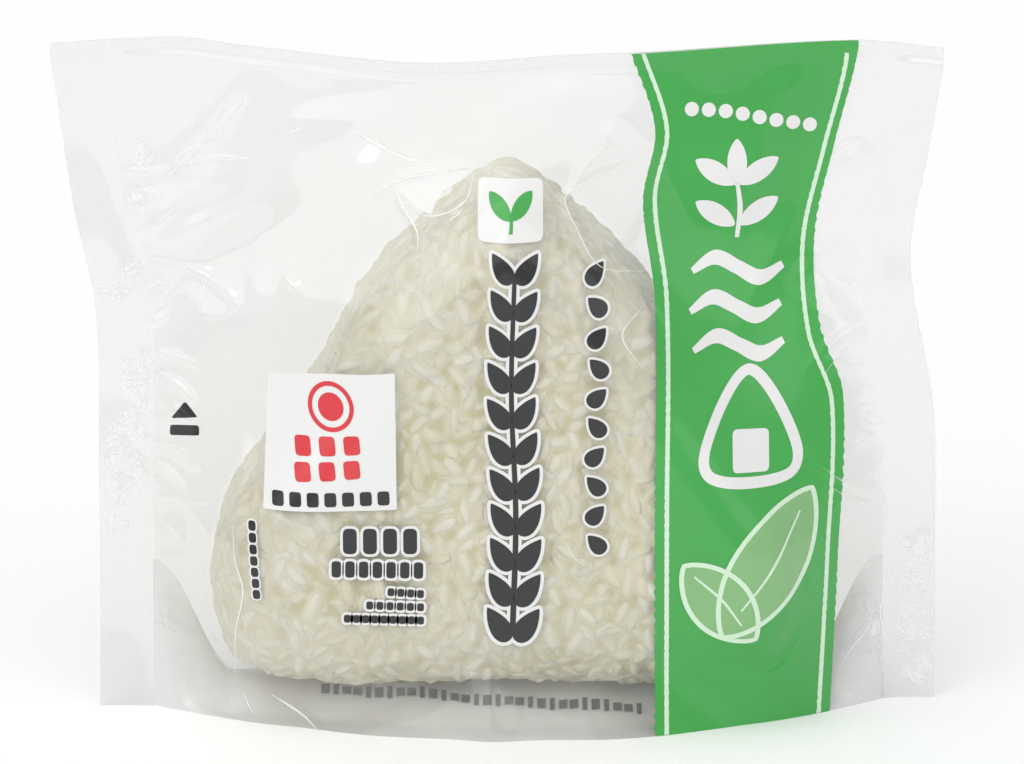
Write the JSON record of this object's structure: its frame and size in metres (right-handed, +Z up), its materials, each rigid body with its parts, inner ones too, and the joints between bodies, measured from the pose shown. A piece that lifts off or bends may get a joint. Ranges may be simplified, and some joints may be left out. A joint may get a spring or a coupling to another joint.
{
  "type": "rice ball in a clear bag",
  "caption": "Large triangular white rice ball sealed in a clear gusseted film bag with a green printed stripe, standing upright on its opened base.",
  "frame": {"origin": "on the floor, under the middle of the whole bag", "axes": "+X to the right across the bag as its printed front is seen, +Y from the front to the back, +Z up"},
  "size_m": [0.1433, 0.051, 0.1089],
  "materials": {
    "clear_film": "clear glossy heat-sealed film",
    "rice": "moist steamed short-grain rice, slightly translucent",
    "green_print": "green ink on glossy film",
    "pale_green_print": "pale green ink on glossy film",
    "red_print": "red ink on glossy film",
    "white_print": "white ink on glossy film",
    "black_print": "black ink on glossy film"
  },
  "bodies": {
    "root": {"film_bag": "clear_film"}
  },
  "joints": []
}
